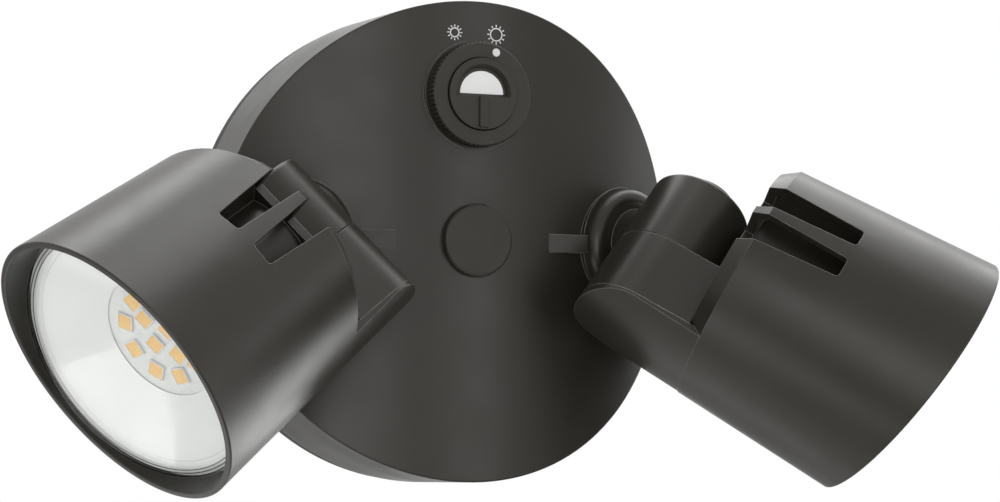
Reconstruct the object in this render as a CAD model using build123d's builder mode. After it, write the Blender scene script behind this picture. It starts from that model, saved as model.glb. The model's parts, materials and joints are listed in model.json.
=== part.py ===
from build123d import *
import os
from math import cos, radians, sin, sqrt, tan

os.makedirs("parts", exist_ok=True)

# Twin-head security flood light for a wall outlet box, in millimetres.
# +Z is up, the front faces -Y, the wall is the plane y = 0, and the origin is
# the centre of the canopy's back on the wall.

# Round canopy: drafted side wall, front face bowed about a vertical line
base_radius = 75.0
canopy_depth = 51.3
canopy_draft = 2.2
canopy_wall = 2.8
canopy_edge = 0.5
bow_radius = 132.0
gasket_thickness = 6.3
gasket_width = 6.0
gasket_inset = 0.4

# Short ribs that run from the bowed face to each swivel
rib_width = 5.5
rib_start = 24.9

# Centre screw, its boss and the round cap over it
cap_radius = 10.9
cap_proud = 2.3
cap_spot_depth = 0.45
cap_edge = 0.8
cap_plug_length = 2.6
cap_plug_wall = 1.4
cap_land_margin = 0.4
centre_boss_radius = 7.0
centre_boss_length = 11.3
screw_head_radius = 4.5
screw_head_height = 3.0
screw_head_edge = 1.0
screw_head_room = 0.3
screw_recess_length = 4.5
screw_recess_width = 1.0
screw_recess_depth = 1.5
screw_shank_radius = 2.4
counterbore_depth = 6.8

# Strap across the outlet box
strap_length = 106.0
strap_width = 22.0
strap_thickness = 1.6
box_hole_spacing = 79.4
box_slot_length = 14.3
box_slot_radius = 2.4
ground_screw_x = 18.0
ground_screw_radius = 1.8
ground_head_radius = 4.0
ground_head_height = 2.2

# Brightness ring with the photocell shutter in its middle
dial_inset = 30.8
knob_radius = 15.9
knob_proud = 4.6
knob_edge = 0.5
knob_bore_radius = 11.2
knob_hub_radius = 12.45
knob_hub_length = 5.8
knurl_count = 72
knurl_radius = 0.35
knob_land_margin = 0.9
index_radius = 13.57
index_angle = 19.4
index_dot_radius = 1.3
index_dot_depth = 0.2
retainer_thickness = 0.8
retainer_width = 2.3
retainer_bite = 0.6
retainer_notch_width = 4.6
retainer_notch_length = 6.9
shutter_proud = 5.6
shutter_thickness = 1.4
shutter_radius = 10.9
shutter_skirt_length = 3.3
window_radius = 8.9
window_slope = 35.0
grip_width = 3.0
grip_height = 1.0
grip_length = 10.2
sleeve_radius = 9.8
sleeve_wall = 1.4
sleeve_face = 1.2
lens_window_radius = 7.0
lens_window_lip = 0.7
dial_inner_land = 3.8
dimmer_thickness = 3.2
dimmer_width = 5.2

# Control board behind the dial, on two posts
control_board_width = 46.0
control_board_height = 29.0
board_thickness = 1.6
post_radius = 3.0
control_post_x = 19.5
light_sensor_radius = 2.5
light_sensor_height = 5.0
light_sensor_edge = 0.8
light_sensor_lift = 3.5
small_screw_radius = 1.4
small_head_radius = 2.6
small_head_height = 1.6
post_thread_length = 1.6
post_tip_room = 1.6

# Driver in its case, low in the canopy
driver_width = 68.0
driver_height = 38.0
driver_inset = 38.0
driver_front = 34.0
driver_back = 13.5
driver_wall = 1.5
driver_ear_width = 9.0
driver_ear_height = 11.0
driver_corner = 2.0
lid_thickness = 1.5
driver_post_radius = 3.5
driver_thread_length = 3.2
driver_board_lift = 3.0
board_post_spacing_x = 34.0
board_post_spacing_z = 19.0
lid_screw_inset = 5.6
transformer_size = 16.0
transformer_height = 11.0
capacitor_radius = 5.0
capacitor_height = 12.0
capacitor_gap = 2.0
inductor_radius = 7.0
inductor_bore = 3.0
inductor_height = 6.0
component_gap = 3.0

# Swivel of each arm on the canopy
arm_inset = 20.8
arm_cant = 22.5
arm_lean = 44.0
collar_radius = 18.2
collar_side = 2.3
collar_top = 5.8
collar_shoulder = 13.9
pedestal_radius = 11.6
pad_height = 0.6
pad_seat_depth = 2.4
pad_margin = 0.4
swivel_seat_depth = 5.5
swivel_boss_radius = 13.0
stem_radius = 6.5
stem_length = 14.0
wireway_radius = 3.6
oring_radius = 10.5
oring_thickness = 2.1
swivel_washer_radius = 12.5
swivel_washer_thickness = 1.2
nut_flats = 20.0
nut_thickness = 5.5

# Barrel at the end of each arm, and the pan pivot in it
barrel_radius = 16.45
barrel_standoff = 7.65
barrel_up = 16.2
barrel_down = 9.65
pan_drop = 1.6
barrel_edge = 1.2
barrel_room_up = 9.0
barrel_room_down = 4.0
barrel_room_radius = 8.0
pivot_radius = 5.0
pivot_bore_radius = 2.8
pivot_head_radius = 9.7
pivot_head_height = 4.5
pivot_head_edge = 1.2
pivot_depth = 23.0
pivot_washer_radius = 9.2
pivot_washer_thickness = 0.7
pan_angle = 45.1

# Head can: short bevel at the rear, slight flare, oblique front rim
can_clearance = 0.95
can_rear_radius = 38.75
can_front_radius = 41.8
can_length = 63.1
can_bevel_length = 4.8
can_bevel_radius = 3.45
can_wall = 2.2
can_floor = 3.0
rim_wall = 2.0
rim_slope = 0.25
rim_margin = 1.0
rim_edge = 0.4
heel_edge = 1.1
core_radius = 24.5
fin_thickness = 2.4
fin_bite = 1.0
vent_length = 31.5
vent_centre = 1.4
vent_core_gap = 1.0
vent_tongue_rear = 2.7
vent_tongue_end = 5.7
vent_width_rear = 10.0
vent_width_end = 6.75
vent_corner = 1.2
neck_screw_w = 11.0
neck_screw_h = 27.0
neck_screw_length = 12.0
neck_screw_radius = 1.9
neck_head_radius = 3.2
neck_head_height = 2.4
lead_hole_radius = 2.6

# Light engine of each head
lens_inset = 12.7
engine_depth = 10.1
lens_thickness = 2.0
lens_side_gap = 0.4
lens_ring_width = 1.8
flange_thickness = 0.8
lens_gasket_thickness = 0.7
ledge_depth = 3.0
reflector_wall = 1.0
reflector_throat = 18.3
reflector_lift = 0.3
led_board_radius = 24.0
led_board_thickness = 1.6
led_size = 3.5
led_height = 0.7
led_outer_radius = 12.2
led_outer_count = 9
led_outer_start = 17.0
led_inner_w = 3.9
led_inner_h = 6.7
led_screw_head_radius = 1.4
led_screw_head_height = 0.8
led_screw_edge_gap = 0.4

# Clearances
running_fit = 0.07
face_gap = 0.2
seam_gap = 0.3
moving_gap = 0.3
fixed_gap = 0.05

# Places on the canopy that follow its radius
dial_z = base_radius - dial_inset
driver_z = driver_inset - base_radius
arm_x = base_radius - arm_inset


def bow_depth(x):
    """Depth of the bowed front face from the wall, at a distance x from the middle."""
    return canopy_depth - bow_radius + sqrt(bow_radius ** 2 - x ** 2)


def front_plane(depth):
    """Plane parallel to the wall, facing the front, at a depth from the wall."""
    return Plane.XZ.offset(depth)


# Swivel plane of the right arm: it stands on the bowed face and faces outward
cant = radians(arm_cant)
lean = radians(arm_lean)
pan = radians(pan_angle)
swivel_out = Vector(sin(cant), -cos(cant), 0)
swivel_side = Vector(cos(cant), sin(cant), 0)
swivel_foot = Vector(arm_x, -bow_depth(arm_x), 0)
swivel = Plane(origin=swivel_foot, x_dir=swivel_side, z_dir=swivel_out)
swivel_left = Plane(
    origin=Vector(-arm_x, -bow_depth(arm_x), 0),
    x_dir=Vector(-cos(cant), sin(cant), 0),
    z_dir=Vector(-sin(cant), -cos(cant), 0),
)
swivel_section = Plane(origin=swivel_foot, x_dir=swivel_side, z_dir=(0, 0, -1))
swivel_axis = Axis(swivel_foot, swivel_out)

# Head frame: x runs along the can to its rim, z up the pan axis of the barrel
axis_height = barrel_radius + barrel_standoff
pan_up = Vector(0, 0, 1) * cos(lean) + swivel_side * sin(lean)
pan_across = swivel_side * cos(lean) - Vector(0, 0, 1) * sin(lean)
can_out = swivel_out * cos(pan) + pan_across * sin(pan)
head_origin = swivel_foot + swivel_out * axis_height - pan_up * pan_drop
head = Plane(origin=head_origin, x_dir=can_out, z_dir=pan_up)
head_axis = Axis(head_origin, can_out)

# Stations along the can, measured from the pan axis
can_rear = barrel_radius + can_clearance
bevel_end = can_rear + can_bevel_length
can_front = can_rear + can_length
can_slope = (can_front_radius - can_rear_radius) / (can_front - bevel_end)
rim_reach = can_front + rim_slope * can_front_radius + rim_margin
floor_end = can_rear + can_floor
vent_end = can_rear + vent_length
lens_position = can_front - lens_inset
core_end = lens_position - engine_depth


def can_radius(length):
    """Outside radius of the can at a length from the pan axis."""
    return can_rear_radius + can_slope * (length - bevel_end)


def across_can(length):
    """Plane square to the can's axis, facing its rim, at a length from the pan axis."""
    return Plane(
        origin=head.from_local_coords((length, 0, 0)),
        x_dir=head.y_dir,
        z_dir=head.x_dir,
    )


def knuckle_outline(front):
    """Half-round behind the pan axis, with flats that run on to the front station."""
    Circle(barrel_radius)
    with Locations((front / 2, 0)):
        Rectangle(front, 2 * barrel_radius)


def save_pair(piece, name):
    """Write a right-hand piece, and its mirror image for the left arm."""
    piece.part.label = f"{name}_right"
    export_step(piece.part, f"parts/{name}_right.step")
    twin = mirror(piece.part, about=Plane.YZ)
    twin.label = f"{name}_left"
    export_step(twin, f"parts/{name}_left.step")


# Depths of the pieces behind the front face
cap_seat = canopy_depth - cap_spot_depth
cap_land_radius = cap_radius + cap_land_margin
centre_boss_back = canopy_depth - centre_boss_length
centre_counterbore_radius = screw_head_radius + screw_head_room
knob_land_radius = knob_radius + knob_land_margin
knob_back = canopy_depth + moving_gap
inner_land_depth = canopy_depth - dial_inner_land
retainer_outer = knob_hub_radius + retainer_width - retainer_bite
inner_land_radius = retainer_outer + pad_margin
hub_back = canopy_depth - knob_hub_length
retainer_front = inner_land_depth - face_gap
dimmer_front = hub_back - moving_gap
board_front = dimmer_front - dimmer_thickness
board_back = board_front - board_thickness
disc_front = canopy_depth + shutter_proud
disc_back = disc_front - shutter_thickness
sleeve_front = disc_back - moving_gap

with BuildPart() as wall_gasket:
    with BuildSketch(front_plane(0)):
        Circle(base_radius - gasket_inset)
        Circle(base_radius - gasket_inset - gasket_width, mode=Mode.SUBTRACT)
    extrude(amount=gasket_thickness)

wall_gasket.part.label = "wall_gasket"
export_step(wall_gasket.part, "parts/wall_gasket.step")

rim_radius = base_radius - gasket_thickness * tan(radians(canopy_draft))
driver_post_x = (driver_width + driver_ear_width) / 2
rib_face = bow_depth(rib_start)

with BuildPart() as canopy_housing:
    # Drafted round body with the bow across its front
    with BuildSketch(front_plane(gasket_thickness)):
        Circle(rim_radius)
    extrude(amount=canopy_depth - gasket_thickness, taper=canopy_draft)
    with BuildSketch(Plane.XY):
        with Locations((0, bow_radius - canopy_depth)):
            Circle(bow_radius)
    extrude(amount=base_radius, both=True, mode=Mode.INTERSECT)
    back_face = canopy_housing.faces().sort_by(Axis.Y)[-1]
    offset(amount=-canopy_wall, openings=back_face, kind=Kind.INTERSECTION)
    front_face = canopy_housing.faces().sort_by(Axis.Y)[0]
    fillet(front_face.edges(), canopy_edge)

    # Bosses and posts inside, trimmed by the same bow
    with BuildSketch(front_plane(centre_boss_back)):
        Circle(centre_boss_radius)
    extrude(amount=centre_boss_length)
    with BuildSketch(front_plane(board_front)):
        with Locations((control_post_x, dial_z), (-control_post_x, dial_z)):
            Circle(post_radius)
    extrude(amount=canopy_depth - board_front)
    with BuildSketch(front_plane(inner_land_depth)):
        with Locations((0, dial_z)):
            Circle(inner_land_radius)
    extrude(amount=canopy_depth - inner_land_depth)
    with BuildSketch(front_plane(driver_front)):
        with Locations((driver_post_x, driver_z), (-driver_post_x, driver_z)):
            Circle(driver_post_radius)
    extrude(amount=canopy_depth - driver_front)
    with BuildSketch(Plane.XY):
        with Locations((0, bow_radius - canopy_depth)):
            Circle(bow_radius)
    extrude(amount=base_radius, both=True, mode=Mode.INTERSECT)

    # Flat land under the brightness ring
    with BuildSketch(front_plane(bow_depth(knob_land_radius) - canopy_wall / 2)):
        with Locations((0, dial_z)):
            Circle(knob_land_radius)
    extrude(amount=canopy_depth - bow_depth(knob_land_radius) + canopy_wall / 2)

    # Flat-topped ribs beside the centre, their backs sunk in the wall
    with BuildSketch(Plane.XY) as rib_profile:
        with Locations((arm_x / 2, 0), (-arm_x / 2, 0)):
            Rectangle(arm_x, 2 * rib_face)
        with Locations((0, bow_radius - canopy_depth)):
            Circle(bow_radius - canopy_wall / 2, mode=Mode.SUBTRACT)
    extrude(amount=rib_width / 2, both=True)

    # Flat pads that the arms turn on, with their seats inside
    for pad in (swivel, swivel_left):
        with BuildSketch(pad.offset(pad_height)):
            Circle(collar_radius + pad_margin)
        extrude(amount=axis_height, mode=Mode.SUBTRACT)
        with BuildSketch(pad.offset(-pad_seat_depth)):
            Circle(collar_radius + pad_margin)
        extrude(amount=pad_seat_depth + pad_height)
        with BuildSketch(pad.offset(-swivel_seat_depth)):
            Circle(swivel_boss_radius)
        extrude(amount=swivel_seat_depth)
        with BuildSketch(pad.offset(-swivel_seat_depth)):
            Circle(stem_radius + running_fit)
        extrude(amount=swivel_seat_depth + pad_height, mode=Mode.SUBTRACT)

    # Openings for the centre screw, the brightness ring and the post screws
    with BuildSketch(front_plane(cap_seat)):
        Circle(cap_land_radius)
    extrude(amount=cap_spot_depth, mode=Mode.SUBTRACT)
    with BuildSketch(front_plane(canopy_depth - counterbore_depth)):
        Circle(centre_counterbore_radius)
    extrude(amount=counterbore_depth, mode=Mode.SUBTRACT)
    with BuildSketch(front_plane(centre_boss_back)):
        Circle(screw_shank_radius + face_gap)
    extrude(amount=centre_boss_length, mode=Mode.SUBTRACT)
    with BuildSketch(front_plane(inner_land_depth)):
        with Locations((0, dial_z)):
            Circle(knob_hub_radius + running_fit)
    extrude(amount=canopy_depth - inner_land_depth, mode=Mode.SUBTRACT)
    with BuildSketch(front_plane(board_front)):
        with Locations((control_post_x, dial_z), (-control_post_x, dial_z)):
            Circle(small_screw_radius)
    extrude(amount=post_thread_length + post_tip_room, mode=Mode.SUBTRACT)
    with BuildSketch(front_plane(driver_front)):
        with Locations((driver_post_x, driver_z), (-driver_post_x, driver_z)):
            Circle(small_screw_radius)
    extrude(amount=driver_thread_length + post_tip_room, mode=Mode.SUBTRACT)

canopy_housing.part.label = "canopy_housing"
export_step(canopy_housing.part, "parts/canopy_housing.step")

with BuildPart() as mounting_crossbar:
    with BuildSketch(front_plane(0)):
        SlotOverall(strap_length, strap_width)
        with Locations((box_hole_spacing / 2, 0), (-box_hole_spacing / 2, 0)):
            SlotOverall(box_slot_length, 2 * box_slot_radius, mode=Mode.SUBTRACT)
        Circle(screw_shank_radius + fixed_gap, mode=Mode.SUBTRACT)
        with Locations((ground_screw_x, 0)):
            Circle(ground_screw_radius + fixed_gap, mode=Mode.SUBTRACT)
    extrude(amount=strap_thickness)

mounting_crossbar.part.label = "mounting_crossbar"
export_step(mounting_crossbar.part, "parts/mounting_crossbar.step")

with BuildPart() as ground_screw:
    with BuildSketch(front_plane(strap_thickness)):
        with Locations((ground_screw_x, 0)):
            RegularPolygon(ground_head_radius, 6)
    extrude(amount=ground_head_height)
    with BuildSketch(front_plane(0)):
        with Locations((ground_screw_x, 0)):
            Circle(ground_screw_radius)
    extrude(amount=strap_thickness)

ground_screw.part.label = "ground_screw"
export_step(ground_screw.part, "parts/ground_screw.step")

screw_seat = canopy_depth - counterbore_depth

with BuildPart() as canopy_screw:
    with BuildSketch(front_plane(screw_seat)):
        Circle(screw_head_radius)
    extrude(amount=screw_head_height)
    fillet(canopy_screw.edges().sort_by(Axis.Y)[0], screw_head_edge)
    with BuildSketch(front_plane(0)):
        Circle(screw_shank_radius)
    extrude(amount=screw_seat)
    with BuildSketch(front_plane(screw_seat + screw_head_height)):
        Rectangle(screw_recess_length, screw_recess_width)
        Rectangle(screw_recess_width, screw_recess_length)
    extrude(amount=-screw_recess_depth, mode=Mode.SUBTRACT)

canopy_screw.part.label = "canopy_screw"
export_step(canopy_screw.part, "parts/canopy_screw.step")

with BuildPart() as screw_cap:
    with BuildSketch(front_plane(cap_seat)):
        Circle(cap_radius)
    extrude(amount=cap_proud + cap_spot_depth)
    fillet(screw_cap.edges().sort_by(Axis.Y)[0], cap_edge)
    with BuildSketch(front_plane(cap_seat)):
        Circle(centre_counterbore_radius - fixed_gap)
        Circle(centre_counterbore_radius - fixed_gap - cap_plug_wall, mode=Mode.SUBTRACT)
    extrude(amount=-cap_plug_length)

screw_cap.part.label = "screw_cap"
export_step(screw_cap.part, "parts/screw_cap.step")

driver_bottom = driver_front - driver_wall

with BuildPart() as driver_case:
    with BuildSketch(front_plane(driver_back)):
        with Locations((0, driver_z)):
            RectangleRounded(driver_width, driver_height, driver_corner)
    extrude(amount=driver_front - driver_back)
    with BuildSketch(front_plane(driver_back)):
        with Locations((0, driver_z)):
            RectangleRounded(
                driver_width - 2 * driver_wall,
                driver_height - 2 * driver_wall,
                driver_corner - driver_wall,
            )
    extrude(amount=driver_bottom - driver_back, mode=Mode.SUBTRACT)
    with BuildSketch(front_plane(driver_bottom)):
        with Locations((driver_post_x, driver_z), (-driver_post_x, driver_z)):
            Rectangle(driver_ear_width, driver_ear_height)
            Circle(small_screw_radius + fixed_gap, mode=Mode.SUBTRACT)
    extrude(amount=driver_wall)
    with BuildSketch(front_plane(driver_bottom)):
        with Locations((0, driver_z)):
            with GridLocations(board_post_spacing_x, board_post_spacing_z, 2, 2):
                Circle(post_radius)
    extrude(amount=-driver_board_lift)

driver_case.part.label = "driver_case"
export_step(driver_case.part, "parts/driver_case.step")

driver_board_front = driver_bottom - driver_board_lift
driver_board_back = driver_board_front - board_thickness

with BuildPart() as driver_board:
    with BuildSketch(front_plane(driver_board_back)):
        with Locations((0, driver_z)):
            RectangleRounded(
                driver_width - 2 * driver_wall - 2 * moving_gap,
                driver_height - 2 * driver_wall - 2 * moving_gap,
                driver_corner,
            )
    extrude(amount=board_thickness)

driver_board.part.label = "driver_board"
export_step(driver_board.part, "parts/driver_board.step")

lid_screw_x = driver_width / 2 - lid_screw_inset
capacitor_x = lid_screw_x - small_screw_radius - component_gap - capacitor_radius

with BuildPart() as driver_components:
    with BuildSketch(front_plane(driver_board_back)):
        with Locations((0, driver_z)):
            RectangleRounded(transformer_size, transformer_size, driver_corner)
    extrude(amount=-transformer_height)
    with BuildSketch(front_plane(driver_board_back)):
        with Locations((capacitor_x, driver_z)):
            with GridLocations(0, 2 * capacitor_radius + capacitor_gap, 1, 2):
                Circle(capacitor_radius)
    extrude(amount=-capacitor_height)
    with BuildSketch(front_plane(driver_board_back)):
        with Locations((-capacitor_x, driver_z)):
            Circle(inductor_radius)
            Circle(inductor_bore, mode=Mode.SUBTRACT)
    extrude(amount=-inductor_height)

driver_components.part.label = "driver_components"
export_step(driver_components.part, "parts/driver_components.step")

lid_back = driver_back - lid_thickness

with BuildPart() as driver_lid:
    with BuildSketch(front_plane(lid_back)):
        with Locations((0, driver_z)):
            RectangleRounded(driver_width, driver_height, driver_corner)
            with Locations((lid_screw_x, 0), (-lid_screw_x, 0)):
                Circle(small_screw_radius + fixed_gap, mode=Mode.SUBTRACT)
    extrude(amount=lid_thickness)

driver_lid.part.label = "driver_lid"
export_step(driver_lid.part, "parts/driver_lid.step")

with BuildPart() as driver_screws:
    with BuildSketch(front_plane(driver_bottom)):
        with Locations((driver_post_x, driver_z), (-driver_post_x, driver_z)):
            Circle(small_head_radius)
    extrude(amount=-small_head_height)
    with BuildSketch(front_plane(driver_bottom)):
        with Locations((driver_post_x, driver_z), (-driver_post_x, driver_z)):
            Circle(small_screw_radius)
    extrude(amount=driver_wall + driver_thread_length)
    with BuildSketch(front_plane(lid_back)):
        with Locations((lid_screw_x, driver_z), (-lid_screw_x, driver_z)):
            Circle(small_head_radius)
    extrude(amount=-small_head_height)
    with BuildSketch(front_plane(lid_back)):
        with Locations((lid_screw_x, driver_z), (-lid_screw_x, driver_z)):
            Circle(small_screw_radius)
    extrude(amount=driver_board_back - lid_back)

driver_screws.part.label = "driver_screws"
export_step(driver_screws.part, "parts/driver_screws.step")

with BuildPart() as control_board:
    with BuildSketch(front_plane(board_back)):
        with Locations((0, dial_z)):
            RectangleRounded(control_board_width, control_board_height, driver_corner)
        with Locations((control_post_x, dial_z), (-control_post_x, dial_z)):
            Circle(small_screw_radius + fixed_gap, mode=Mode.SUBTRACT)
    extrude(amount=board_thickness)

control_board.part.label = "control_board"
export_step(control_board.part, "parts/control_board.step")

with BuildPart() as control_board_screws:
    with BuildSketch(front_plane(board_back)):
        with Locations((control_post_x, dial_z), (-control_post_x, dial_z)):
            Circle(small_head_radius)
    extrude(amount=-small_head_height)
    with BuildSketch(front_plane(board_back)):
        with Locations((control_post_x, dial_z), (-control_post_x, dial_z)):
            Circle(small_screw_radius)
    extrude(amount=board_thickness + post_thread_length)

control_board_screws.part.label = "control_board_screws"
export_step(control_board_screws.part, "parts/control_board_screws.step")

with BuildPart() as light_sensor:
    with BuildSketch(front_plane(board_front)):
        with Locations((0, dial_z + light_sensor_lift)):
            Circle(light_sensor_radius)
    extrude(amount=light_sensor_height)
    fillet(light_sensor.edges().sort_by(Axis.Y)[0], light_sensor_edge)

light_sensor.part.label = "light_sensor"
export_step(light_sensor.part, "parts/light_sensor.step")

dimmer_inner = sleeve_radius + moving_gap

with BuildPart() as dimmer_ring:
    with BuildSketch(front_plane(board_front)):
        with Locations((0, dial_z)):
            Circle(dimmer_inner + dimmer_width)
            Circle(dimmer_inner, mode=Mode.SUBTRACT)
    extrude(amount=dimmer_thickness)

dimmer_ring.part.label = "dimmer_ring"
export_step(dimmer_ring.part, "parts/dimmer_ring.step")


def half_moon(radius, flat):
    """Half-moon about the dial's centre, with its flat edge above the middle line."""
    with Locations((0, dial_z)):
        Circle(radius)
    with Locations((0, dial_z + flat - radius)):
        Rectangle(2 * radius, 2 * radius, mode=Mode.SUBTRACT)


with BuildPart() as photocell_sleeve:
    with BuildSketch(front_plane(board_front)):
        with Locations((0, dial_z)):
            Circle(sleeve_radius)
    extrude(amount=sleeve_front - board_front)
    with BuildSketch(front_plane(board_front)):
        with Locations((0, dial_z)):
            Circle(sleeve_radius - sleeve_wall)
    extrude(amount=sleeve_front - sleeve_face - board_front, mode=Mode.SUBTRACT)
    with BuildSketch(front_plane(sleeve_front)):
        half_moon(lens_window_radius + fixed_gap, -fixed_gap)
    extrude(amount=-sleeve_face, mode=Mode.SUBTRACT)

photocell_sleeve.part.label = "photocell_sleeve"
export_step(photocell_sleeve.part, "parts/photocell_sleeve.step")

with BuildPart() as photocell_lens:
    with BuildSketch(front_plane(sleeve_front)):
        half_moon(lens_window_radius, 0)
    extrude(amount=-sleeve_face)
    with BuildSketch(front_plane(sleeve_front - sleeve_face)):
        half_moon(lens_window_radius + lens_window_lip, -lens_window_lip)
    extrude(amount=-sleeve_face)

photocell_lens.part.label = "photocell_lens"
export_step(photocell_lens.part, "parts/photocell_lens.step")

retainer_back = retainer_front - retainer_thickness

with BuildPart() as brightness_knob:
    with BuildSketch(front_plane(knob_back)):
        with Locations((0, dial_z)):
            Circle(knob_radius)
    extrude(amount=knob_proud - moving_gap)
    chamfer(brightness_knob.edges().sort_by(Axis.Y)[0], knob_edge)
    with BuildSketch(front_plane(hub_back)):
        with Locations((0, dial_z)):
            Circle(knob_hub_radius)
    extrude(amount=knob_back - hub_back)
    with BuildSketch(front_plane(retainer_back)):
        with Locations((0, dial_z)):
            Circle(knob_hub_radius)
            Circle(knob_hub_radius - retainer_bite, mode=Mode.SUBTRACT)
    extrude(amount=retainer_thickness, mode=Mode.SUBTRACT)
    with BuildSketch(front_plane(hub_back)):
        with Locations((0, dial_z)):
            Circle(knob_bore_radius)
    extrude(amount=knob_hub_length + knob_proud, mode=Mode.SUBTRACT)
    # Knurled edge and the index dot, a shallow recess
    with BuildSketch(front_plane(knob_back)):
        with Locations((0, dial_z)):
            with PolarLocations(knob_radius, knurl_count):
                Circle(knurl_radius)
    extrude(amount=knob_proud, mode=Mode.SUBTRACT)
    with BuildSketch(front_plane(canopy_depth + knob_proud)):
        with Locations((0, dial_z)):
            with PolarLocations(index_radius, 1, start_angle=90 - index_angle):
                Circle(index_dot_radius)
    extrude(amount=-index_dot_depth, mode=Mode.SUBTRACT)

brightness_knob.part.label = "brightness_knob"
export_step(brightness_knob.part, "parts/brightness_knob.step")

with BuildPart() as knob_retainer:
    with BuildSketch(front_plane(retainer_back)):
        with Locations((0, dial_z)):
            Circle(retainer_outer)
            Circle(knob_hub_radius - retainer_bite + fixed_gap, mode=Mode.SUBTRACT)
        with Locations((0, dial_z - retainer_outer)):
            Rectangle(retainer_notch_width, retainer_notch_length, mode=Mode.SUBTRACT)
    extrude(amount=retainer_thickness)

knob_retainer.part.label = "knob_retainer"
export_step(knob_retainer.part, "parts/knob_retainer.step")

window_taper = shutter_thickness * tan(radians(window_slope))

with BuildPart() as photocell_shutter:
    with BuildSketch(front_plane(disc_back)):
        with Locations((0, dial_z)):
            Circle(shutter_radius)
    extrude(amount=shutter_thickness)
    with BuildSketch(front_plane(disc_back)):
        with Locations((0, dial_z)):
            Circle(shutter_radius)
            Circle(sleeve_radius + running_fit, mode=Mode.SUBTRACT)
    extrude(amount=-shutter_skirt_length)
    with BuildSketch(front_plane(disc_front)):
        half_moon(window_radius, -window_taper)
    extrude(amount=-shutter_thickness, taper=window_slope, mode=Mode.SUBTRACT)
    with BuildSketch(front_plane(disc_front)):
        with Locations((0, dial_z - window_taper - (grip_length - window_taper) / 2)):
            Rectangle(grip_width, grip_length - window_taper)
    extrude(amount=grip_height)
    grip_edges = photocell_shutter.faces().sort_by(Axis.Y)[0].edges()
    fillet(grip_edges.filter_by(Axis.Z), grip_height / 2)

photocell_shutter.part.label = "photocell_shutter"
export_step(photocell_shutter.part, "parts/photocell_shutter.step")

# Arm: domed collar on the pad, pedestal, barrel, and a hollow stem to the inside
collar_seat = pad_height + face_gap

with BuildPart() as arm:
    with BuildSketch(swivel_section):
        with BuildLine():
            Polyline(
                (0, -stem_length),
                (stem_radius, -stem_length),
                (stem_radius, collar_seat),
                (collar_radius, collar_seat),
                (collar_radius, collar_side),
            )
            TangentArc((collar_radius, collar_side), (collar_shoulder, collar_top), tangent=(0, 1))
            Polyline(
                (collar_shoulder, collar_top),
                (pedestal_radius, collar_top + face_gap),
                (pedestal_radius, axis_height),
                (0, axis_height),
                (0, -stem_length),
            )
        make_face()
    revolve(axis=swivel_axis)
    with BuildSketch(head.offset(-barrel_down)):
        Circle(barrel_radius)
    extrude(amount=barrel_up + barrel_down)
    barrel_rim = arm.faces().sort_by(Axis(head_origin, pan_up))[-1].edges()
    fillet(barrel_rim, barrel_edge)
    # Room under the barrel for the head's neck to turn
    with BuildSketch(head.offset(-barrel_down)):
        Circle(barrel_radius + moving_gap)
    extrude(amount=-2 * pedestal_radius, mode=Mode.SUBTRACT)
    # Pivot bore with a wider room for the leads in its middle
    with BuildSketch(head.offset(-barrel_down)):
        Circle(pivot_radius + running_fit)
    extrude(amount=barrel_up + barrel_down, mode=Mode.SUBTRACT)
    with BuildSketch(head.offset(-barrel_room_down)):
        Circle(barrel_room_radius)
    extrude(amount=barrel_room_up + barrel_room_down, mode=Mode.SUBTRACT)
    with BuildSketch(swivel.offset(-stem_length)):
        Circle(wireway_radius)
    extrude(amount=stem_length + axis_height - pivot_radius, mode=Mode.SUBTRACT)
    # Groove for the ring seal under the collar
    with BuildSketch(swivel.offset(collar_seat)):
        Circle(oring_radius + oring_thickness / 2 + fixed_gap)
        Circle(oring_radius - oring_thickness / 2 - fixed_gap, mode=Mode.SUBTRACT)
    extrude(amount=oring_thickness + fixed_gap, mode=Mode.SUBTRACT)

save_pair(arm, "arm")

with BuildPart() as swivel_oring:
    with BuildSketch(swivel_section):
        with Locations((oring_radius, collar_seat + oring_thickness / 2)):
            Circle(oring_thickness / 2)
    revolve(axis=swivel_axis)

save_pair(swivel_oring, "swivel_oring")

washer_out = -swivel_seat_depth - face_gap
nut_out = washer_out - swivel_washer_thickness

with BuildPart() as swivel_washer:
    with BuildSketch(swivel.offset(washer_out)):
        Circle(swivel_washer_radius)
        Circle(stem_radius + fixed_gap, mode=Mode.SUBTRACT)
    extrude(amount=-swivel_washer_thickness)

save_pair(swivel_washer, "swivel_washer")

with BuildPart() as swivel_nut:
    with BuildSketch(swivel.offset(nut_out)):
        RegularPolygon(nut_flats / 2, 6, major_radius=False)
        Circle(stem_radius + fixed_gap, mode=Mode.SUBTRACT)
    extrude(amount=-nut_thickness)

save_pair(swivel_nut, "swivel_nut")

# Cooling fins around the core
fin_angles = (30, 60, 90, 120, 150, 210, 330)


def fin_plane(angle):
    """Plane through the can's axis that a fin stands in, at an angle about the axis."""
    radial = head.y_dir * cos(radians(angle)) + head.z_dir * sin(radians(angle))
    return Plane(origin=head_origin, x_dir=head.x_dir, z_dir=head.x_dir.cross(radial))


# Plane of the rim, tilted towards the wall side
rim_plane = Plane(
    origin=head.from_local_coords((can_front, 0, 0)),
    x_dir=head.z_dir,
    z_dir=head.x_dir + head.y_dir * rim_slope,
)

# Plane of the side slots, level with the middle of their tongue
vent_floor = core_radius + vent_core_gap
vent_side = Plane(
    origin=head.from_local_coords((0, 0, vent_centre)),
    x_dir=head.x_dir,
    z_dir=-head.y_dir,
)

# Top of the neck and of the heel, below the barrel
neck_top = -barrel_down - seam_gap
heel_top = heel_edge - sqrt(can_radius(0) ** 2 - barrel_radius ** 2)

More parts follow.
